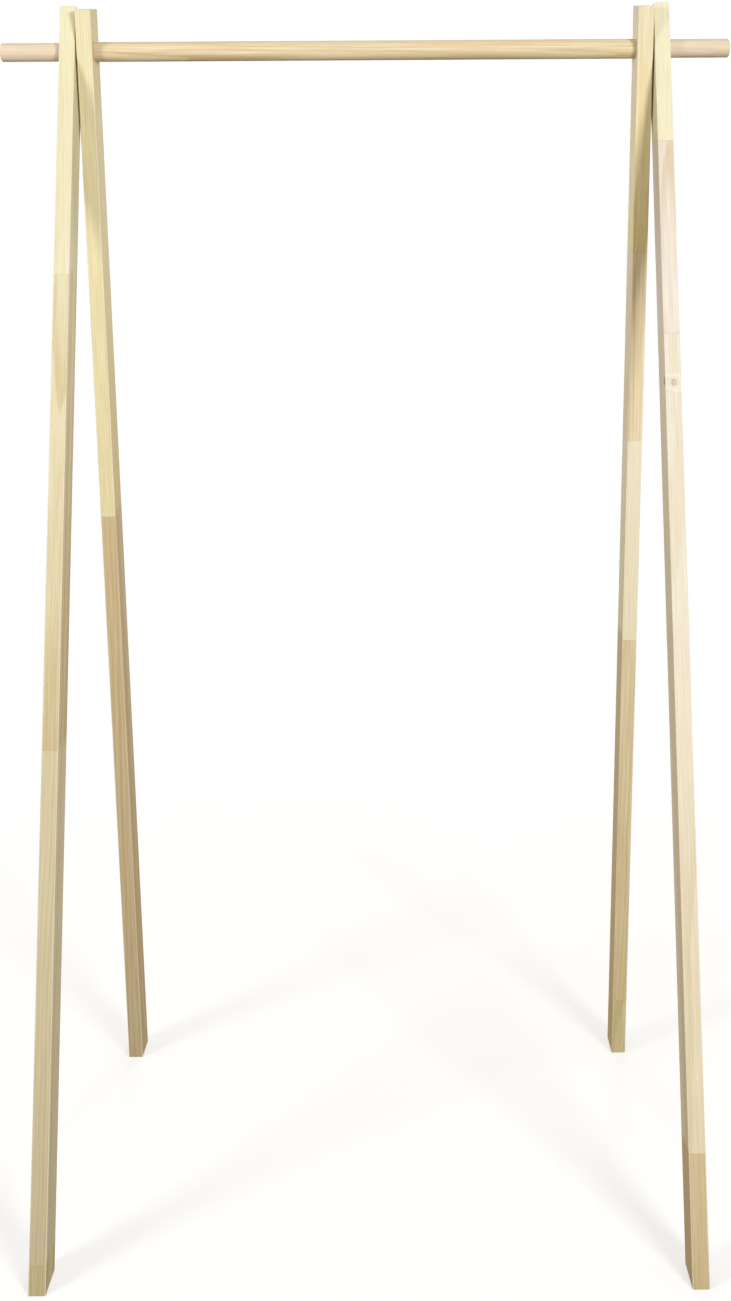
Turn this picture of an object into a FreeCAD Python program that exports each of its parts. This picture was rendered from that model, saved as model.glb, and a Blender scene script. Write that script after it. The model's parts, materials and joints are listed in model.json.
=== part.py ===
"""Open clothes stand: a round wooden rail carried by two A-shaped pairs of finger-jointed legs.

X runs along the rail, -Y is the front, +Z is up.
The origin is on the floor, in the middle of the four feet.
"""
import FreeCAD, Part
import math
import os

from FreeCAD import Vector

# Driving dimensions of the stand, in millimetres and degrees
stand_height = 1500.0
leg_angle = 10.0

# Rectangular legs, with the thin side along the rail
leg_thickness = 20.0
leg_width = 45.0
leg_overhang = 54.0
arris_radius = 1.5
end_bevel = 0.8

# Round rail, turned down at both ends in a seat for the legs and a free stub
shoulder_span = 692.0
rail_diameter = 25.0
seat_diameter = 24.0
stub_diameter = 23.6
stub_length = 78.0
stub_end_radius = 2.0

# Washer that parts the two legs of a pair
spacer_thickness = 2.0
spacer_diameter = 32.0

# Running fits of the legs on the rail
bore_clearance = 0.05
side_clearance = 0.1

# Countersunk wood screw that locks each front leg to the rail
screw_length = 20.0
screw_shank_diameter = 4.0
screw_head_diameter = 8.0
screw_tip_length = 5.0
screw_clearance = 0.1
recess_width = 1.0
recess_span = 4.0
recess_depth = 1.5

# Fingers of the glued joints between the lengths of one leg
finger_length = 10.0
finger_pitch = 4.0
finger_tip = 0.6

# Places of the finger joints, as shares of the leg from the rail's axis down to the floor
left_front_joint_shares = (0.196, 0.588, 0.977)
left_back_joint_shares = (0.42,)
right_front_joint_shares = (0.083, 0.25, 0.9)
right_back_joint_shares = (0.175, 0.35, 0.547, 0.934)

# Names of the lengths of one leg, from the top down, by their number
length_names = {
    2: ("top", "foot"),
    4: ("top", "upper", "middle", "foot"),
    5: ("top", "upper", "middle", "lower", "foot"),
}

# Length by which cutting tools pass the faces that they cut
overrun = 5.0

# Greatest distance between two points that count as one place
same_place = 0.0001

# Places that follow from the driving dimensions
lean = math.radians(leg_angle)
rail_height = stand_height - leg_overhang * math.cos(lean) - leg_width / 2 * math.sin(lean)
leg_reach = rail_height / math.cos(lean)
back_leg_face = shoulder_span / 2 + side_clearance
spacer_face = back_leg_face + leg_thickness + side_clearance
front_leg_face = spacer_face + spacer_thickness
seat_end = front_leg_face + leg_thickness
rail_end = seat_end + stub_length
back_leg_x = back_leg_face + leg_thickness / 2
front_leg_x = front_leg_face + leg_thickness / 2
seat_radius = seat_diameter / 2
stub_radius = stub_diameter / 2

x_axis = Vector(1, 0, 0)
y_axis = Vector(0, 1, 0)
z_axis = Vector(0, 0, 1)


def set_on_rail(shape, x, angle):
    """Turn a shape made about the rail's axis by an angle about X and carry it to its place on the rail."""
    placed = shape.copy()
    placed.rotate(Vector(), x_axis, angle)
    placed.translate(Vector(x, 0, rail_height))
    return placed


def turned(points, axis):
    """Revolve an outline of straight runs, closed along the axis, into a solid."""
    outline = Part.makePolygon(points + points[:1])
    return Part.Face(outline).revolve(Vector(), axis)


def edges_along(shape, direction):
    """The straight edges of a shape that run along a direction."""
    found = []
    for edge in shape.Edges:
        run = edge.Vertexes[-1].Point - edge.Vertexes[0].Point
        if run.cross(direction).Length < same_place:
            found.append(edge)
    return found


def hanging_rail():
    """The rail, with shoulders for the back legs, seats for all legs and rounded ends."""
    half_profile = [
        Vector(shoulder_span / 2, 0, rail_diameter / 2),
        Vector(shoulder_span / 2, 0, seat_radius),
        Vector(seat_end, 0, seat_radius),
        Vector(seat_end, 0, stub_radius),
        Vector(rail_end, 0, stub_radius),
        Vector(rail_end, 0, 0),
    ]
    other_half = [Vector(-point.x, 0, point.z) for point in reversed(half_profile)]
    rail = turned(other_half + half_profile, x_axis)
    rims = [edge for edge in rail.Edges if abs(abs(edge.CenterOfMass.x) - rail_end) < same_place]
    return set_on_rail(rail.makeFillet(stub_end_radius, rims), 0, 0)


def leg_spacer(side):
    """The washer between the back leg and the front leg of one pair."""
    ring = Part.makeCylinder(spacer_diameter / 2, spacer_thickness, Vector(), x_axis)
    hole = Part.makeCylinder(seat_radius + bore_clearance, spacer_thickness, Vector(), x_axis)
    start = spacer_face if side > 0 else -spacer_face - spacer_thickness
    return set_on_rail(ring.cut(hole), start, 0)


def screw_body(clearance):
    """A countersunk screw, with its head flush in the leg's rear edge and its tip in the rail."""
    shank_radius = screw_shank_diameter / 2 + clearance
    head_radius = screw_head_diameter / 2 + clearance
    face = leg_width / 2
    tip = face - screw_length - clearance
    points = [
        Vector(0, tip, 0),
        Vector(shank_radius, tip + screw_tip_length, 0),
        Vector(shank_radius, face - head_radius + shank_radius, 0),
        Vector(head_radius, face, 0),
        Vector(0, face, 0),
    ]
    return turned(points, y_axis)


def lock_screw():
    """The screw itself, with a cross recess in its head."""
    face = leg_width / 2
    along = Part.makeBox(recess_span, recess_depth, recess_width)
    along.translate(Vector(-recess_span / 2, face - recess_depth, -recess_width / 2))
    across = Part.makeBox(recess_width, recess_depth, recess_span)
    across.translate(Vector(-recess_width / 2, face - recess_depth, -recess_span / 2))
    return screw_body(0).cut(along.fuse(across))


def whole_leg(x, angle, locked):
    """One leg before it is parted into lengths: cut level with the floor, eased and bored for the rail."""
    turn = math.radians(angle)
    profile = [Vector(0, -leg_width / 2, leg_overhang), Vector(0, leg_width / 2, leg_overhang)]
    for y in (leg_width / 2, -leg_width / 2):
        profile.append(Vector(0, y, -(rail_height + y * math.sin(turn)) / math.cos(turn)))
    leg = Part.Face(Part.makePolygon(profile + profile[:1])).extrude(x_axis * leg_thickness)
    leg.translate(x_axis * (-leg_thickness / 2))
    faces = sorted(leg.Faces, key=lambda face: face.CenterOfMass.z)
    leg = leg.makeChamfer(end_bevel, faces[0].Edges + faces[-1].Edges)
    leg = leg.makeFillet(arris_radius, edges_along(leg, z_axis))
    leg = leg.cut(Part.makeCylinder(
        seat_radius + bore_clearance,
        leg_thickness + 2 * overrun,
        Vector(-leg_thickness / 2 - overrun, 0, 0),
        x_axis,
    ))
    if locked:
        leg = leg.cut(screw_body(screw_clearance))
    return set_on_rail(leg, x, angle)


def finger_line(depth):
    """The fingers of one joint, as points across the leg's wide side, at a depth below the rail's axis."""
    count = max(1, round(leg_width / finger_pitch))
    pitch = leg_width / count
    low = -depth - finger_length / 2
    high = -depth + finger_length / 2
    points = [Vector(0, -leg_width / 2 - overrun, low)]
    for number in range(count):
        start = -leg_width / 2 + number * pitch
        points.append(Vector(0, start + finger_tip / 2, low))
        points.append(Vector(0, start + pitch / 2 - finger_tip / 2, high))
        points.append(Vector(0, start + pitch / 2 + finger_tip / 2, high))
        points.append(Vector(0, start + pitch - finger_tip / 2, low))
    points.append(Vector(0, leg_width / 2 + overrun, low))
    return points


def straight_line(depth):
    """A line straight across the leg's wide side, past both edges."""
    edge = leg_width / 2 + overrun
    return [Vector(0, -edge, -depth), Vector(0, edge, -depth)]


def leg_lengths(x, angle, joint_shares, locked):
    """The glued lengths of one leg, from the top down, parted along their finger joints."""
    leg = whole_leg(x, angle, locked)
    lines = [straight_line(-leg_overhang - overrun)]
    for share in joint_shares:
        lines.append(finger_line(share * leg_reach))
    lines.append(straight_line(leg_reach + leg_width))
    lengths = []
    for upper, lower in zip(lines, lines[1:]):
        window = Part.Face(Part.makePolygon(upper + lower[::-1] + upper[:1]))
        window.translate(Vector(-leg_thickness / 2 - overrun, 0, 0))
        window = window.extrude(x_axis * (leg_thickness + 2 * overrun))
        lengths.append(leg.common(set_on_rail(window, x, angle)).Solids[0])
    return lengths


def all_legs():
    """Every length of the four legs, by the name of its node."""
    legs = {
        "left_front_leg": leg_lengths(-front_leg_x, -leg_angle, left_front_joint_shares, True),
        "left_back_leg": leg_lengths(-back_leg_x, leg_angle, left_back_joint_shares, False),
        "right_front_leg": leg_lengths(front_leg_x, -leg_angle, right_front_joint_shares, True),
        "right_back_leg": leg_lengths(back_leg_x, leg_angle, right_back_joint_shares, False),
    }
    pieces = {}
    for leg_name, lengths in legs.items():
        for length_name, solid in zip(length_names[len(lengths)], lengths):
            pieces[leg_name + "_" + length_name] = solid
    return pieces


def build():
    """Every node of the stand, by name."""
    rail = hanging_rail()
    screws = []
    for side in (-1, 1):
        rail = rail.cut(set_on_rail(screw_body(screw_clearance), side * front_leg_x, -leg_angle))
        screws.append(set_on_rail(lock_screw(), side * front_leg_x, -leg_angle))
    pieces = {
        "hanging_rail": rail,
        "left_leg_spacer": leg_spacer(-1),
        "right_leg_spacer": leg_spacer(1),
        "rail_lock_screws": Part.makeCompound(screws),
    }
    pieces.update(all_legs())
    return pieces


os.makedirs("parts", exist_ok=True)
for node, shape in build().items():
    shape.exportStep("parts/" + node + ".step")
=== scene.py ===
"""Looks of an open clothes stand: pine legs glued up from lengths, a dowel rail and small hardware.

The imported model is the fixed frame: every piece keeps its place and gets a procedural finish.
Sizes are in metres in the scene, and in millimetres inside the patterns of the finishes.
"""

import json
import logging
import math
from dataclasses import dataclass
from enum import Enum

import bpy
from mathutils import Matrix, Vector


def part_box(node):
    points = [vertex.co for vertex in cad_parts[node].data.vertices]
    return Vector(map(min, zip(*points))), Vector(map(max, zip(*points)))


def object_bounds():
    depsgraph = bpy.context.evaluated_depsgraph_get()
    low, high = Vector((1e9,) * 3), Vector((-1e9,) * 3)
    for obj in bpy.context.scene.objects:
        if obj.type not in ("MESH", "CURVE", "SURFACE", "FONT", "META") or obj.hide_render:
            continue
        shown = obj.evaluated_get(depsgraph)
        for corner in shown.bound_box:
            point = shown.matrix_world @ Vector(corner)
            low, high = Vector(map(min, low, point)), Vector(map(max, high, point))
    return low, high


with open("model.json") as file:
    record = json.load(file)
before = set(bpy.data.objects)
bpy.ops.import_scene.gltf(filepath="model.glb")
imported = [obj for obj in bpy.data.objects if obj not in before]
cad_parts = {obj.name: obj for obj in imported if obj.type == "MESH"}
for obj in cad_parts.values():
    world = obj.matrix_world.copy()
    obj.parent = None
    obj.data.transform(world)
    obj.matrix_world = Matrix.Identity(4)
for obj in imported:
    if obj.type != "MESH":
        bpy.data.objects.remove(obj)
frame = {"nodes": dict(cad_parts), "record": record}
CAD_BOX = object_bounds()

MM = 0.001
RAIL_AXIS = Vector((1, 0, 0))

# Kinds of nodes that are used more than once
MATH = "ShaderNodeMath"
VECTOR_MATH = "ShaderNodeVectorMath"
RANGE = "ShaderNodeMapRange"
MIX = "ShaderNodeMix"
MAPPING = "ShaderNodeMapping"
SEPARATE = "ShaderNodeSeparateXYZ"
COORDINATES = "ShaderNodeTexCoord"
NOISE = "ShaderNodeTexNoise"
BUMP = "ShaderNodeBump"
PRINCIPLED = "ShaderNodeBsdfPrincipled"
DIFFUSE = "ShaderNodeBsdfDiffuse"
EMISSION = "ShaderNodeEmission"
BACKGROUND = "ShaderNodeBackground"
MIX_SHADER = "ShaderNodeMixShader"
MATERIAL_OUTPUT = "ShaderNodeOutputMaterial"

# Sockets of the mix node that hold colours
MIX_A = 6
MIX_B = 7
MIX_RESULT = 2

# The sRGB curve: a straight start up to the knee, and a power above it
SRGB_KNEE = 0.04045
SRGB_SLOPE = 12.92
SRGB_OFFSET = 0.055
SRGB_POWER = 2.4

# Strength at which a surface that is seen directly is white
WHITE_STRENGTH = 1.0

UNIT = (0.0, 1.0)
FALLING = (1.0, 0.0)

Input = float | tuple | Vector | bpy.types.NodeSocket
Inputs = dict[str | int, Input]
Span = tuple[float, float]
Tint = tuple[float, float, float]

log = logging.getLogger("clothes_stand")


def linear(hex_colour: str) -> tuple[float, ...]:
    """Turn an sRGB colour into linear light.

    Args:
        hex_colour: The colour as "#RRGGBB".

    Returns:
        Linear red, green and blue, and an alpha of 1.
    """
    channels = []
    for start in (1, 3, 5):
        value = int(hex_colour[start:start + 2], 16) / 255
        if value <= SRGB_KNEE:
            channels.append(value / SRGB_SLOPE)
        else:
            channels.append(((value + SRGB_OFFSET) / (1 + SRGB_OFFSET)) ** SRGB_POWER)
    return (*channels, 1.0)


def add_node(
    tree: bpy.types.NodeTree,
    kind: str,
    inputs: Inputs | None = None,
    out: str | int = 0,
    **settings: object,
) -> bpy.types.NodeSocket | None:
    """Add a node to a tree, with its settings, values and links.

    Args:
        tree: The tree that gets the node.
        kind: Blender's name for the kind of node.
        inputs: What goes into each input socket: a value, or the socket that is linked to it.
        out: The output socket that is wanted.
        settings: Attributes of the node itself.

    Returns:
        The output socket that was asked for, or None on a node without outputs.
    """
    node = tree.nodes.new(kind)
    for name, setting in settings.items():
        setattr(node, name, setting)
    for socket, value in (inputs or {}).items():
        if isinstance(value, bpy.types.NodeSocket):
            tree.links.new(value, node.inputs[socket])
        else:
            node.inputs[socket].default_value = value
    return node.outputs[out] if len(node.outputs) else None


def ramp(
    tree: bpy.types.NodeTree,
    value: bpy.types.NodeSocket,
    span: Span = UNIT,
    to: Span = UNIT,
    smooth: bool = False,
) -> bpy.types.NodeSocket:
    """Carry a number from one span to another, held at both ends.

    Args:
        tree: The tree that gets the node.
        value: The number.
        span: The span that it comes from.
        to: The span that it goes to.
        smooth: Whether it eases in and out.

    Returns:
        The carried number.
    """
    inputs = {"Value": value, "From Min": span[0], "From Max": span[1], "To Min": to[0], "To Max": to[1]}
    return add_node(tree, RANGE, inputs, interpolation_type="SMOOTHSTEP" if smooth else "LINEAR")


def mix(
    tree: bpy.types.NodeTree,
    share: bpy.types.NodeSocket,
    first: Input,
    second: Input,
) -> bpy.types.NodeSocket:
    """Mix two linear colours.

    Args:
        tree: The tree that gets the node.
        share: The second colour's share, held between 0 and 1.
        first: The first colour.
        second: The second colour.

    Returns:
        The mixed colour.
    """
    inputs = {0: share, MIX_A: first, MIX_B: second}
    return add_node(tree, MIX, inputs, out=MIX_RESULT, data_type="RGBA")


def new_material(name: str) -> bpy.types.Material:
    """Make a material with an empty node tree."""
    material = bpy.data.materials.new(name)
    material.use_nodes = True
    material.node_tree.nodes.clear()
    return material


def dress(node: str, material: bpy.types.Material) -> None:
    """Give a node of the frame its material, and report it."""
    mesh = frame["nodes"][node].data
    mesh.materials.clear()
    mesh.materials.append(material)
    log.info("%s: %s", node, material.name)


def mount(name: str) -> dict:
    """The record's entry for a mount."""
    return next(entry for entry in frame["record"]["mounts"] if entry["name"] == name)


class Sawing(Enum):
    """How a blank was sawn from its log.

    The values are the pith's place across the blank's two sides, in millimetres.
    """

    FLAT = (-64.0, 9.0)
    RIFT = (-46.0, 50.0)
    QUARTER = (5.0, 78.0)


@dataclass(frozen=True)
class Streaks:
    """Cloudy streaks along the grain: width and length in millimetres, and the number of finer layers."""

    width: float
    length: float
    layers: float


@dataclass(frozen=True)
class Knot:
    """A small branch stump, in millimetres in the frame of the blank's grain."""

    middle: tuple[float, float, float]
    reach: tuple[float, float, float]
    depth: float


@dataclass(frozen=True)
class PineFinish:
    """Planed and sanded pine under a clear matt lacquer.

    Pale early wood between thin darker lines of late wood gives long warm streaks,
    and the lacquer leaves a broad, dull sheen.
    """

    name: str
    late_tint: Tint
    flush_tint: Tint
    end_grain: str = "#B08A55"
    # Painted highlight along the rounded long edges
    arris_highlight: str = "#FAF1D8"
    knot: str = "#6E5A44"
    glue: str = "#B39A70"
    ring_share: float = 0.65
    flush_share: float = 0.8
    fibre_share: float = 0.14
    fleck_share: float = 0.25
    end_share: float = 0.5
    arris_highlight_share: float = 0.6
    glue_share: float = 0.3
    smooth_roughness: float = 0.55
    open_roughness: float = 0.75
    sheen: float = 0.2
    ior: float = 1.5


STRAW = PineFinish("pine_planed_straw", (0.80, 0.72, 0.58), (0.96, 0.94, 0.89))
PALE = PineFinish("pine_planed_pale", (0.82, 0.74, 0.57), (0.95, 0.91, 0.87))
ROSE = PineFinish("pine_planed_rose", (0.78, 0.68, 0.54), (0.91, 0.84, 0.77))
HONEY = PineFinish("pine_planed_honey", (0.76, 0.65, 0.46), (0.90, 0.84, 0.73))
DOWEL = PineFinish("pine_turned_dowel", (0.72, 0.59, 0.43), (0.92, 0.84, 0.74), fibre_share=0.18)


@dataclass(frozen=True)
class Blank:
    """One length of wood: its finish, the colours of its upper and lower end, which hold painted shade of
    the light falling off toward the floor as well as the wood's own tone, and the run of its grain.

    The rings are spaced in millimetres and slant in degrees. The share for the wide sides is how much of
    the late wood's colour the darkest bands of its wide sides have; above 1, the pale bands fill up too.
    This is partly late wood and partly painted shade: on some lengths it is raised to paint the wide sides
    darker, standing in for the lesser light on the inner sides.
    """

    length: str
    finish: PineFinish
    wood: str
    tail: str
    sawing: Sawing
    seed: float
    ring_spacing: float = 3.2
    slant: float = 0.6
    side_bands_and_shade_share: float = 0.6
    knots: tuple[Knot, ...] = ()


@dataclass(frozen=True)
class GrainFrame:
    """Where a piece's grain starts and how it is turned, in the frame of the model."""

    location: Vector
    rotation: tuple[float, float, float]

    def matrix(self) -> Matrix:
        """The place and turn as a matrix."""
        turn = Matrix.Rotation(self.rotation[0], 4, "X") @ Matrix.Rotation(self.rotation[1], 4, "Y")
        return Matrix.Translation(self.location) @ turn


class PineGraph:
    """The node tree of one piece of pine, in millimetres across (u, v) and along (w) its grain."""

    wander_streaks = Streaks(55.0, 420.0, 2.0)
    flush_streaks = Streaks(3.2, 120.0, 2.0)
    # The wide sides cut the rings at a low angle, which draws them out to broad bands.
    band_streaks = Streaks(20.0, 1500.0, 1.0)
    # Fibres of pine are finer than this, and are drawn as coarse as they need to show.
    fibre_streaks = Streaks(0.9, 60.0, 3.0)
    fleck_streaks = Streaks(0.6, 9.0, 1.0)

    # Strengths of the streaks between which each pattern sets in
    flush_span = (0.36, 0.62)
    band_span = (0.42, 0.56)
    fibre_span = (0.3, 0.7)
    fleck_span = (0.66, 0.76)
    band_contrast = 1.0
    fibre_peak = 1.02

    # Rings: how far they wander, the part of a year in which late wood sets in and stops,
    # the least late wood of a year, and how much of the slant leans across it
    wander_reach = 5.0
    late_rise = (0.3, 0.88)
    late_stop = (0.9, 1.0)
    poor_year = 0.25
    cross_lean = 1 / 3

    # Knots, in shares of their reach: where the rings bulge, the rim and the softer heart
    bulge_span = (0.5, 3.5)
    rim_span = (0.6, 1.4)
    heart_span = (0.0, 0.8)
    heart_share = 0.5

    # Edges, with a painted highlight: the outer part of their radius that is fully pale
    arris_full = 1 / 3
    # How squarely a face looks along an axis, as a cosine
    facing_span = (0.75, 0.95)
    # Distances in millimetres over which the glue and the tint of the ends fade
    glue_fade = (0.2, 0.6)
    tint_fade = 2.0

    # Relief of the lacquered surface, with its height in millimetres
    bump_height = 0.09
    bump_strength = 0.5
    ring_relief = 0.5

    def __init__(self, name: str, place: GrainFrame, blank: Blank, reach: Span) -> None:
        """Start the tree of a piece.

        Args:
            name: The name of its material.
            place: Where its grain starts.
            blank: Its wood.
            reach: The lowest and highest place of the piece along its grain.
        """
        self.blank = blank
        self.finish = blank.finish
        self.material = new_material(name)
        self.tree = self.material.node_tree
        self.axis = place.matrix().to_3x3() @ Vector((0, 0, 1))
        coordinates = self.add(COORDINATES).node.outputs
        self.normal = coordinates["Normal"]
        self.point = self.add(
            MAPPING,
            {
                "Vector": coordinates["Object"],
                "Location": place.location,
                "Rotation": place.rotation,
                "Scale": (MM, MM, MM),
            },
            vector_type="TEXTURE",
        )
        self.u, self.v, self.w = self.add(SEPARATE, {0: self.point}).node.outputs
        low, high = reach
        # The colour runs from the upper to the lower end; besides the wood's own tone, this run holds
        # painted shade of the light falling off toward the floor.
        run = ramp(self.tree, self.w, (high, low))
        self.early = mix(self.tree, run, linear(blank.wood), linear(blank.tail))
        self.late = self.tinted(self.early, self.finish.late_tint)
        self.fibre = self.streaks(self.fibre_streaks)
        self.stumps = [(knot, self.stump(knot)) for knot in blank.knots]
        self.ring = self.rings()
        self.colour = self.grain_colour()

    def add(
        self,
        kind: str,
        inputs: Inputs | None = None,
        out: str | int = 0,
        **settings: object,
    ) -> bpy.types.NodeSocket | None:
        """Add a node to this piece's tree; see add_node."""
        return add_node(self.tree, kind, inputs, out, **settings)

    def calculate(self, operation: str, *values: Input) -> bpy.types.NodeSocket:
        """Work out a number from others, by the name of Blender's operation."""
        return self.add(MATH, dict(enumerate(values)), operation=operation)

    def tinted(self, colour: bpy.types.NodeSocket, tint: Tint) -> bpy.types.NodeSocket:
        """Multiply a colour by a tint."""
        return self.add(VECTOR_MATH, {0: colour, 1: tint}, operation="MULTIPLY")

    def blend(self, share: bpy.types.NodeSocket, colour: Input) -> None:
        """Mix a linear colour over the wood by a share of 0 to 1."""
        self.colour = mix(self.tree, share, self.colour, colour)

    def streaks(self, kind: Streaks) -> bpy.types.NodeSocket:
        """Cloudy streaks along the grain.

        Args:
            kind: Their size and layers.

        Returns:
            Their strength, about 0.5.
        """
        seed = self.blank.seed
        stretched = self.add(
            MAPPING,
            {
                "Vector": self.point,
                "Location": (seed, 2 * seed, 3 * seed),
                "Scale": (1 / kind.width, 1 / kind.width, 1 / kind.length),
            },
            vector_type="POINT",
        )
        return self.add(NOISE, {"Vector": stretched, "Scale": 1.0, "Detail": kind.layers})

    def stump(self, knot: Knot) -> bpy.types.NodeSocket:
        """The distance from a knot's middle, where 1 is its rim."""
        across = self.add(VECTOR_MATH, {0: self.point, 1: knot.middle}, operation="SUBTRACT")
        shares = self.add(VECTOR_MATH, {0: across, 1: knot.reach}, operation="DIVIDE")
        return self.add(VECTOR_MATH, {0: shares}, out="Value", operation="LENGTH")

    def rings(self) -> bpy.types.NodeSocket:
        """Lines of late wood about a leaning, wandering pith.

        Returns:
            How much late wood shows, from 0 to 1.
        """
        pith_u, pith_v = self.blank.sawing.value
        lean = math.radians(self.blank.slant)
        about_pith = self.add(
            MAPPING,
            {
                "Vector": self.point,
                "Location": (pith_u, pith_v, 0),
                "Rotation": (lean * self.cross_lean, lean, 0),
            },
            vector_type="TEXTURE",
        )
        flat = self.add(VECTOR_MATH, {0: about_pith, 1: (1, 1, 0)}, operation="MULTIPLY")
        radius = self.add(VECTOR_MATH, {0: flat}, out="Value", operation="LENGTH")
        wander = self.streaks(self.wander_streaks)
        radius = self.calculate("MULTIPLY_ADD", wander, 2 * self.wander_reach, radius)
        for knot, distance in self.stumps:
            bulge = ramp(self.tree, distance, self.bulge_span, (max(knot.reach), 0), smooth=True)
            radius = self.calculate("ADD", radius, bulge)
        count = self.calculate("DIVIDE", radius, self.blank.ring_spacing)
        year = self.calculate("FLOOR", count)
        season = self.calculate("FRACT", count)
        rise = ramp(self.tree, season, self.late_rise, smooth=True)
        stop = ramp(self.tree, season, self.late_stop, FALLING, smooth=True)
        line = self.calculate("MULTIPLY", rise, stop)
        growth = self.add("ShaderNodeTexWhiteNoise", {"W": year}, out="Value", noise_dimensions="1D")
        strength = ramp(self.tree, growth, to=(self.poor_year, 1))
        return self.calculate("MULTIPLY", line, strength)

    def grain_colour(self) -> bpy.types.NodeSocket:
        """Early and late wood, flushed in broad streaks and broken up by fibres."""
        finish = self.finish
        share = self.calculate("MULTIPLY", self.ring, finish.ring_share)
        colour = mix(self.tree, share, self.early, self.late)
        flush = self.streaks(self.flush_streaks)
        flush = ramp(self.tree, flush, self.flush_span, (0, finish.flush_share))
        colour = mix(self.tree, flush, colour, self.tinted(colour, finish.flush_tint))
        level = ramp(self.tree, self.fibre, self.fibre_span, (1 - finish.fibre_share, self.fibre_peak))
        return self.add(VECTOR_MATH, {0: colour, "Scale": level}, operation="SCALE")

    def facing(self, axis: Vector, share: float) -> bpy.types.NodeSocket:
        """A share on the faces that look along an axis, either way, and 0 on the others."""
        along = self.add(VECTOR_MATH, {0: self.normal, 1: axis}, out="Value", operation="DOT_PRODUCT")
        along = self.calculate("ABSOLUTE", along)
        return ramp(self.tree, along, self.facing_span, (0, share))

    def band_and_shade_sides(self, axis: Vector) -> None:
        """Lay bands of late wood over the sides that look along an axis of the model's frame, with painted
        shade where the share is raised.
        """
        # Painted shade: a high share darkens both wide sides, standing in for the lesser light on the inner
        # sides, on top of the real late-wood bands.
        share = self.blank.side_bands_and_shade_share
        bands = self.streaks(self.band_streaks)
        bands = ramp(self.tree, bands, self.band_span, (share - self.band_contrast, share))
        self.blend(self.calculate("MULTIPLY", bands, self.facing(axis, 1.0)), self.late)

    def draw_knots(self) -> None:
        """A dark rim and a softer heart for each knot."""
        for knot, distance in self.stumps:
            rim = ramp(self.tree, distance, self.rim_span, (knot.depth, 0), smooth=True)
            heart = ramp(self.tree, distance, self.heart_span, (self.heart_share, 1), smooth=True)
            self.blend(self.calculate("MULTIPLY", rim, heart), linear(self.finish.knot))

    def paint_arris_highlights(self, half_u: float, half_v: float, radius: float) -> None:
        """Paint the four long edges paler, as a painted highlight where their rounding catches the light.

        Args:
            half_u: Half the piece's size along u, in millimetres.
            half_v: Half the piece's size along v, in millimetres.
            radius: The radius of the edges, in millimetres.
        """
        masks = []
        for across, half in ((self.u, half_u), (self.v, half_v)):
            side = self.calculate("ABSOLUTE", across)
            span = (half - radius, half - radius * self.arris_full)
            masks.append(ramp(self.tree, side, span, smooth=True))
        corner = self.calculate("MULTIPLY", *masks)
        # Painted highlight: the edges are mixed toward a pale colour where their rounding would catch the
        # light.
        share = self.calculate("MULTIPLY", corner, self.finish.arris_highlight_share)
        self.blend(share, linear(self.finish.arris_highlight))

    def glue_line(self, low: float, high: float, half_v: float, pitch: float, tip: float) -> None:
        """Draw the thin line of glue along the fingers of one joint.

        Args:
            low: The fingers' lower ends along the grain, in millimetres.
            high: Their upper ends.
            half_v: Half the leg's width.
            pitch: The distance from finger to finger.
            tip: The width of a finger's blunt tip.
        """
        side = self.calculate("ADD", self.v, half_v)
        slope = self.calculate("PINGPONG", side, pitch / 2)
        fingers = ramp(self.tree, slope, (tip / 2, pitch / 2 - tip / 2), (low, high))
        away = self.calculate("SUBTRACT", self.w, fingers)
        away = self.calculate("ABSOLUTE", away)
        line = ramp(self.tree, away, self.glue_fade, (self.finish.glue_share, 0))
        self.blend(line, linear(self.finish.glue))

    def tint_beyond(self, distance: float, colour: str, share: float) -> None:
        """Tint both ends of a piece past a distance along the grain, in millimetres."""
        along = self.calculate("ABSOLUTE", self.w)
        past = ramp(self.tree, along, (distance, distance + self.tint_fade), (0, share))
        self.blend(past, linear(colour))

    def finished(self) -> bpy.types.Material:
        """Close the tree with darker end grain, flecks, a fibre bump and the lacquer's sheen.

        Returns:
            The material.
        """
        finish = self.finish
        self.blend(self.facing(self.axis, finish.end_share), linear(finish.end_grain))
        flecks = self.streaks(self.fleck_streaks)
        self.blend(ramp(self.tree, flecks, self.fleck_span, (0, finish.fleck_share)), self.late)
        height = self.calculate("MULTIPLY_ADD", self.ring, self.ring_relief, self.fibre)
        bump = self.add(
            BUMP,
            {"Strength": self.bump_strength, "Distance": self.bump_height * MM, "Height": height},
        )
        gloss = (finish.open_roughness, finish.smooth_roughness)
        shader = self.add(
            PRINCIPLED,
            {
                "Base Color": self.colour,
                "Roughness": ramp(self.tree, self.fibre, self.fibre_span, gloss),
                "Specular IOR Level": finish.sheen,
                "IOR": finish.ior,
                "Normal": bump,
            },
        )
        self.add(MATERIAL_OUTPUT, {"Surface": shader})
        return self.material


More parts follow.
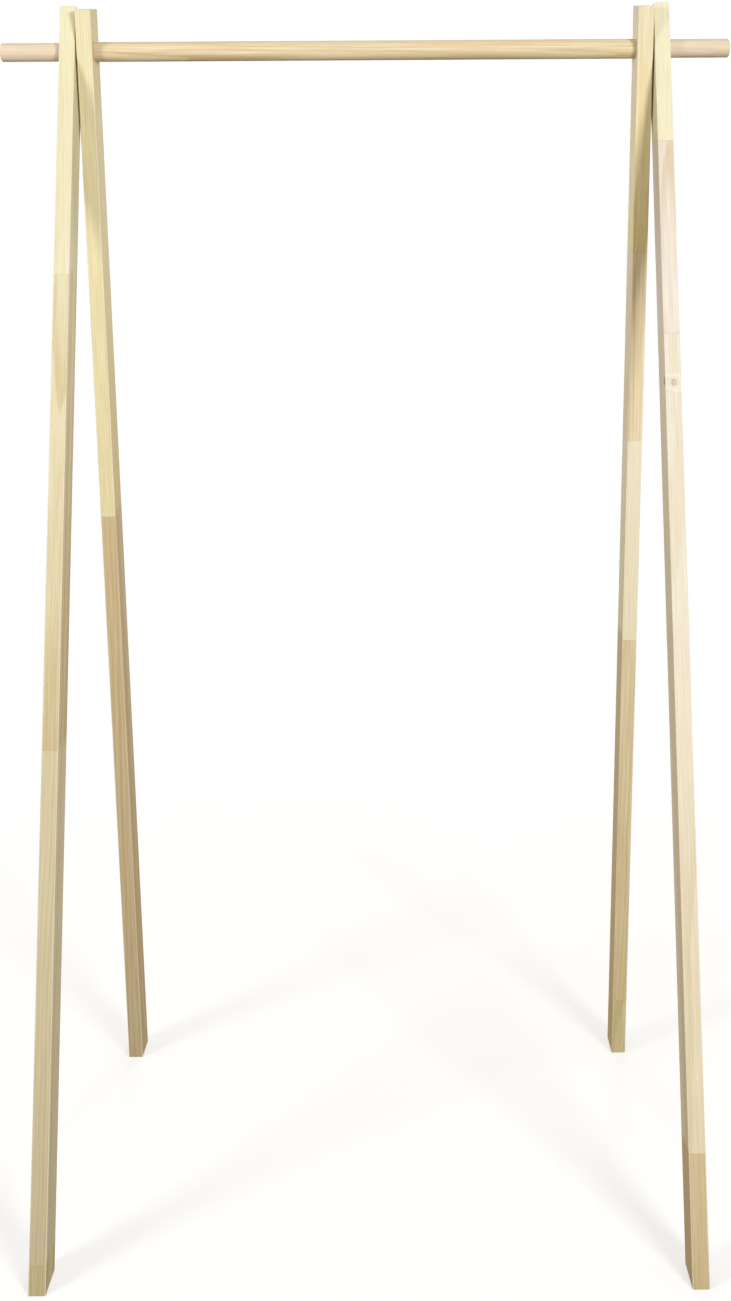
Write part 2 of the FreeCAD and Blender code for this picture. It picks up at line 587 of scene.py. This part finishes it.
@dataclass(frozen=True)
class NylonFinish:
    """Moulded natural nylon: an even, dull ivory skin with a fine spark-eroded grain."""

    name: str = "nylon_moulded_natural"
    body: str = "#D3C4A0"
    worn: str = "#C2B088"
    grit: float = 0.35
    grit_layers: float = 2.0
    roughness: Span = (0.45, 0.65)
    bump_height: float = 0.02
    bump_strength: float = 0.3
    ior: float = 1.53

    def material(self) -> bpy.types.Material:
        """Make the material.

        Returns:
            The material, with the mould's grain in its colour, roughness and bump.
        """
        material = new_material(self.name)
        tree = material.node_tree
        point = add_node(tree, COORDINATES, out="Object")
        grain = add_node(
            tree,
            NOISE,
            {"Vector": point, "Scale": 1 / (self.grit * MM), "Detail": self.grit_layers},
        )
        bump = add_node(
            tree,
            BUMP,
            {"Strength": self.bump_strength, "Distance": self.bump_height * MM, "Height": grain},
        )
        shader = add_node(
            tree,
            PRINCIPLED,
            {
                "Base Color": mix(tree, grain, linear(self.body), linear(self.worn)),
                "Roughness": ramp(tree, grain, to=self.roughness),
                "IOR": self.ior,
                "Normal": bump,
            },
        )
        add_node(tree, MATERIAL_OUTPUT, {"Surface": shader})
        return material


@dataclass(frozen=True)
class ZincFinish:
    """Steel with yellow zinc plating: a soft metal shine with faint rainbow clouds."""

    name: str = "steel_zinc_plated_yellow"
    plate: str = "#D8C07A"
    cloud: str = "#B9A58A"
    cloud_size: float = 2.5
    cloud_layers: float = 2.0
    grit: float = 0.12
    grit_layers: float = 1.0
    roughness: Span = (0.25, 0.45)
    metallic: float = 1.0

    def material(self) -> bpy.types.Material:
        """Make the material.

        Returns:
            The material, with clouds in its colour and a fine grit in its roughness.
        """
        material = new_material(self.name)
        tree = material.node_tree
        point = add_node(tree, COORDINATES, out="Object")
        clouds = add_node(
            tree,
            NOISE,
            {"Vector": point, "Scale": 1 / (self.cloud_size * MM), "Detail": self.cloud_layers},
        )
        grit = add_node(
            tree,
            NOISE,
            {"Vector": point, "Scale": 1 / (self.grit * MM), "Detail": self.grit_layers},
        )
        shader = add_node(
            tree,
            PRINCIPLED,
            {
                "Base Color": mix(tree, clouds, linear(self.plate), linear(self.cloud)),
                "Roughness": ramp(tree, grit, to=self.roughness),
                "Metallic": self.metallic,
            },
        )
        add_node(tree, MATERIAL_OUTPUT, {"Surface": shader})
        return material


@dataclass
class Leg:
    """One leg: a batten glued up from lengths, hung on the rail and leaning to its foot.

    The rail's height is in metres. The edges' radius and the fingers' sizes are in millimetres.
    """

    name: str
    foot_mount: str
    blanks: tuple[Blank, ...]
    rail_height: float
    arris_radius: float = 1.5
    finger_pitch: float = 4.0
    finger_tip: float = 0.6
    finger_length: float = 10.0

    def grain_frame(self) -> GrainFrame:
        """The leg's own frame, from the rail's axis to the foot that the record names."""
        foot = mount(self.foot_mount)["pos_m"]
        lean = math.atan2(foot[1], self.rail_height)
        return GrainFrame(Vector((foot[0], 0, self.rail_height)), (lean, 0, 0))

    def box(self, node: str, place: GrainFrame) -> tuple[Vector, Vector]:
        """The box of a length in the leg's own frame.

        Args:
            node: The length's node.
            place: The leg's own frame.

        Returns:
            The lowest and highest corner, in millimetres across and along the leg.
        """
        to_leg = place.matrix().inverted()
        points = [to_leg @ vertex.co / MM for vertex in frame["nodes"][node].data.vertices]
        low = Vector(min(point[axis] for point in points) for axis in range(3))
        high = Vector(max(point[axis] for point in points) for axis in range(3))
        return low, high

    def dress(self) -> None:
        """Dress each length as its own blank of wood, with glue in the joints between them."""
        place = self.grain_frame()
        last = len(self.blanks) - 1
        for number, blank in enumerate(self.blanks):
            node = f"{self.name}_{blank.length}"
            low, high = self.box(node, place)
            # The fingers fill the leg's width, so their pitch is rounded to it.
            pitch = 2 * high.y / round(2 * high.y / self.finger_pitch)
            graph = PineGraph(f"{blank.finish.name}.{node}", place, blank, (low.z, high.z))
            graph.band_and_shade_sides(RAIL_AXIS)
            graph.draw_knots()
            graph.paint_arris_highlights(high.x, high.y, self.arris_radius)
            fingers = []
            if number > 0:
                fingers.append(high.z - self.finger_length)
            if number < last:
                fingers.append(low.z)
            for start in fingers:
                graph.glue_line(start, start + self.finger_length, high.y, pitch, self.finger_tip)
            dress(node, graph.finished())


@dataclass
class HangingRail:
    """The dowel that carries the clothes, with turned-down ends that stand out past the legs."""

    node: str = "hanging_rail"
    end_mount: str = "rail_end_right"
    blank: Blank = Blank("rail", DOWEL, "#EEDFB8", "#EDDCB8", Sawing.RIFT, 61.0, 3.4, 0.9)
    stub_tint: str = "#E0CEBE"
    stub_share: float = 0.5

    def height(self) -> float:
        """The height of the rail's axis."""
        low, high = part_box(self.node)
        return (low.z + high.z) / 2

    def stub_start(self) -> float:
        """Where the free ends start, in millimetres from the middle of the rail."""
        end = mount(self.end_mount)
        return end["pos_m"][0] / MM - end["dims"]["length_mm"] / 2

    def dress(self) -> None:
        """Dress the dowel with grain along it and rosier wood on the turned ends."""
        place = GrainFrame(Vector((0, 0, self.height())), (0, math.pi / 2, 0))
        start = self.stub_start()
        graph = PineGraph(f"{self.blank.finish.name}.{self.node}", place, self.blank, (-start, start))
        graph.tint_beyond(start, self.stub_tint, self.stub_share)
        dress(self.node, graph.finished())


@dataclass
class LegHardware:
    """The spacer washers between the legs of each pair, and the screws that lock the front legs."""

    spacers: tuple[str, ...] = ("left_leg_spacer", "right_leg_spacer")
    screws: str = "rail_lock_screws"

    def dress(self) -> None:
        """Dress the washers in nylon and the screws in plated steel."""
        nylon = NylonFinish().material()
        for spacer in self.spacers:
            dress(spacer, nylon)
        dress(self.screws, ZincFinish().material())


@dataclass(frozen=True)
class Lamp:
    """A soft rectangular lamp: its place and size in metres and its power in watts."""

    name: str
    place: tuple[float, float, float]
    size: tuple[float, float]
    watts: float


@dataclass
class Studio:
    """A plain pale floor in front of white, with a lamp at each front corner and two weaker ones behind."""

    floor_size: float = 24.0
    floor_drop: float = 0.0002
    floor_colour: str = "#BCB9B5"
    bounce_colour: str = "#857F78"
    lift_reach: Span = (-0.4, 0.8)
    lift_strength: Span = (0.53, 0.58)
    fade_reach: Span = (0.7, 1.8)
    sky_colour: str = "#FFFFFF"
    sky_strength: float = 0.46
    lamps: tuple[Lamp, ...] = (
        Lamp("key_lamp", (1.65, -3.0, 1.8), (0.9, 0.9), 78.0),
        Lamp("fill_lamp", (-1.6, -1.2, 1.6), (0.5, 0.5), 17.0),
        Lamp("back_right_lamp", (0.7, 3.2, 1.4), (0.8, 1.2), 18.0),
        Lamp("back_left_lamp", (-0.5, 3.2, 1.6), (0.8, 1.2), 15.0),
    )

    def seen_directly(self, tree: bpy.types.NodeTree) -> bpy.types.NodeSocket:
        """1 where a camera, mirror or glass ray looks, and 0 for the rays that light the object."""
        rays = add_node(tree, "ShaderNodeLightPath").node.outputs
        seen = rays["Is Camera Ray"]
        for kind in ("Is Glossy Ray", "Is Transmission Ray"):
            seen = add_node(tree, MATH, {0: seen, 1: rays[kind]}, operation="MAXIMUM")
        return seen

    def board(self) -> bpy.types.Material:
        """Painted board: even and dull, and lifted to white where it is seen directly.

        Returns:
            The material, which keeps the object's shadow nearby and fades to white further out.
        """
        material = new_material("painted_board_pale")
        tree = material.node_tree
        paint = add_node(tree, DIFFUSE, {"Color": linear(self.floor_colour)})
        bounce = add_node(tree, DIFFUSE, {"Color": linear(self.bounce_colour)})
        point = add_node(tree, COORDINATES, out="Object")
        depth = add_node(tree, SEPARATE, {0: point}, out="Y")
        # The lamps light the front of the floor more, so its back is lifted more.
        strength = ramp(tree, depth, self.lift_reach, self.lift_strength)
        lift = add_node(tree, EMISSION, {"Strength": strength})
        lifted = add_node(tree, "ShaderNodeAddShader", {0: paint, 1: lift})
        white = add_node(tree, EMISSION, {"Strength": WHITE_STRENGTH})
        away = add_node(tree, VECTOR_MATH, {0: point}, out="Value", operation="LENGTH")
        fade = ramp(tree, away, self.fade_reach, smooth=True)
        shown = add_node(tree, MIX_SHADER, {0: fade, 1: lifted, 2: white})
        surface = add_node(tree, MIX_SHADER, {0: self.seen_directly(tree), 1: bounce, 2: shown})
        add_node(tree, MATERIAL_OUTPUT, {"Surface": surface})
        return material

    def build_floor(self) -> None:
        """Lay the floor just under the feet."""
        mesh = bpy.data.meshes.new("studio_floor")
        half = self.floor_size / 2
        level = CAD_BOX[0].z - self.floor_drop
        corners = [(-half, -half, level), (half, -half, level), (half, half, level), (-half, half, level)]
        mesh.from_pydata(corners, [], [(0, 1, 2, 3)])
        floor = bpy.data.objects.new("studio_floor", mesh)
        bpy.context.scene.collection.objects.link(floor)
        mesh.materials.append(self.board())

    def build_sky(self) -> None:
        """Light from all round, and plain white where the background is seen."""
        world = bpy.data.worlds.new("studio_sky")
        bpy.context.scene.world = world
        world.use_nodes = True
        tree = world.node_tree
        tree.nodes.clear()
        colour = linear(self.sky_colour)
        soft = add_node(tree, BACKGROUND, {"Color": colour, "Strength": self.sky_strength})
        white = add_node(tree, BACKGROUND, {"Color": colour, "Strength": WHITE_STRENGTH})
        surface = add_node(tree, MIX_SHADER, {0: self.seen_directly(tree), 1: soft, 2: white})
        add_node(tree, "ShaderNodeOutputWorld", {"Surface": surface})

    def build_lamp(self, lamp: Lamp) -> None:
        """Hang a lamp that points at the middle of the object."""
        light = bpy.data.lights.new(lamp.name, "AREA")
        light.shape = "RECTANGLE"
        light.size, light.size_y = lamp.size
        light.energy = lamp.watts
        hung = bpy.data.objects.new(lamp.name, light)
        bpy.context.scene.collection.objects.link(hung)
        aim = (CAD_BOX[0] + CAD_BOX[1]) / 2
        hung.location = lamp.place
        hung.visible_camera = False
        hung.rotation_euler = (aim - Vector(lamp.place)).to_track_quat("-Z", "Y").to_euler()

    def build(self) -> None:
        """Set up the floor, the sky and the lamps."""
        self.build_floor()
        self.build_sky()
        for lamp in self.lamps:
            self.build_lamp(lamp)
        bpy.context.scene.view_settings.view_transform = "Standard"


@dataclass
class PhotoCamera:
    """The photograph's view: places in metres, angles in degrees, image sizes in its pixels."""

    place: tuple[float, float, float] = (0.0474, -1.9378, 1.1804)
    yaw: float = -0.273
    pitch: float = -2.301
    roll: float = -0.39
    focal_length: float = 1499.5
    centre: tuple[float, float] = (411.4, 315.0)
    image: tuple[float, float] = (731.0, 1301.0)

    def build(self) -> None:
        """Make the camera and look through it."""
        lens = bpy.data.cameras.new("photo_camera")
        width, height = self.image
        lens.lens = self.focal_length / height * lens.sensor_width
        lens.shift_x = (width / 2 - self.centre[0]) / height
        lens.shift_y = (self.centre[1] - height / 2) / height
        camera = bpy.data.objects.new("photo_camera", lens)
        bpy.context.scene.collection.objects.link(camera)
        turn = Matrix.Rotation(math.radians(self.yaw), 4, "Z")
        turn = turn @ Matrix.Rotation(math.radians(self.pitch), 4, "X")
        turn = turn @ Matrix.Rotation(math.radians(-self.roll), 4, "Y")
        level = Matrix.Rotation(math.pi / 2, 4, "X")
        camera.matrix_world = Matrix.Translation(self.place) @ turn @ level
        bpy.context.scene.camera = camera


def leg_blanks() -> dict[str, tuple[Blank, ...]]:
    """The lengths of the four legs, from the top down.

    Returns:
        The lengths by the name of their leg.
    """
    edge_knot = Knot(middle=(1.0, -22.5, -432.0), reach=(3.6, 6.0, 4.2), depth=0.4)
    side_knot = Knot(middle=(-10.0, -17.5, -430.0), reach=(3.0, 4.0, 5.5), depth=0.8)
    knots = (edge_knot, side_knot)
    # The numbers are each blank's seed, ring spacing, slant and share for the wide sides; a high share for
    # the wide sides is painted shade on them.
    # Painted shade: lower lengths are written darker, and most lengths darker towards their lower end. This
    # is partly each length's own tone and partly painted shade of the light falling off toward the floor.
    return {
        "left_front_leg": (
            Blank("top", STRAW, "#EBE4BF", "#E8DFBC", Sawing.QUARTER, 3.0, 4.5, 0.4, 0.6),
            Blank("upper", HONEY, "#EAE4C5", "#DACAA4", Sawing.QUARTER, 11.0, 4.2, 1.0, 0.95),
            Blank("middle", STRAW, "#DACEAA", "#CFC29F", Sawing.RIFT, 19.0, 3.4, 0.6, 0.95),
            Blank("foot", HONEY, "#CBC197", "#C9BE92", Sawing.FLAT, 27.0, 3.0, 0.6, 0.8),
        ),
        "left_back_leg": (
            Blank("top", STRAW, "#F0E7BE", "#F0E4B5", Sawing.FLAT, 31.0, 2.8, 0.3, 1.9),
            Blank("foot", ROSE, "#DCC79D", "#D4C199", Sawing.RIFT, 37.0, 4.0, 0.8, 0.9),
        ),
        "right_front_leg": (
            Blank("top", STRAW, "#EEE7C6", "#EEE7C6", Sawing.QUARTER, 41.0, 4.0, 0.5, 0.5),
            Blank("upper", PALE, "#E8DCCA", "#ECE4D6", Sawing.QUARTER, 43.0, 2.8, 0.1, 0.35),
            Blank("middle", PALE, "#F0E9D9", "#E8DBBA", Sawing.QUARTER, 47.0, 5.0, 1.2, 0.8, knots),
            Blank("foot", ROSE, "#DCCAA6", "#D3C196", Sawing.FLAT, 53.0, 2.6, 0.8, 1.9),
        ),
        "right_back_leg": (
            # Painted shade: its lower end is written yellower, where the right front leg's shadow lies on
            # it.
            Blank("top", HONEY, "#F0E6C5", "#F8E7A8", Sawing.QUARTER, 59.0, 4.0, 0.6, 0.1),
            Blank("upper", ROSE, "#F0DEB4", "#F6E9C4", Sawing.RIFT, 67.0, 2.8, 0.3, 0.7),
            Blank("middle", PALE, "#F6EECF", "#F6ECCB", Sawing.QUARTER, 71.0, 3.6, 0.6, 1.2),
            Blank("lower", ROSE, "#EBDCB6", "#E4D1A4", Sawing.RIFT, 73.0, 3.6, 0.8, 1.7),
            Blank("foot", HONEY, "#E5D5A7", "#E3D2A4", Sawing.QUARTER, 79.0, 3.0, 0.6, 1.9),
        ),
    }


def main() -> None:
    """Dress the stand, light it and look at it."""
    logging.basicConfig(level=logging.INFO, format="%(message)s")
    rail = HangingRail()
    rail.dress()
    for name, blanks in leg_blanks().items():
        Leg(name, name.replace("leg", "foot"), blanks, rail.height()).dress()
    LegHardware().dress()
    Studio().build()
    PhotoCamera().build()


if __name__ == "__main__":
    main()
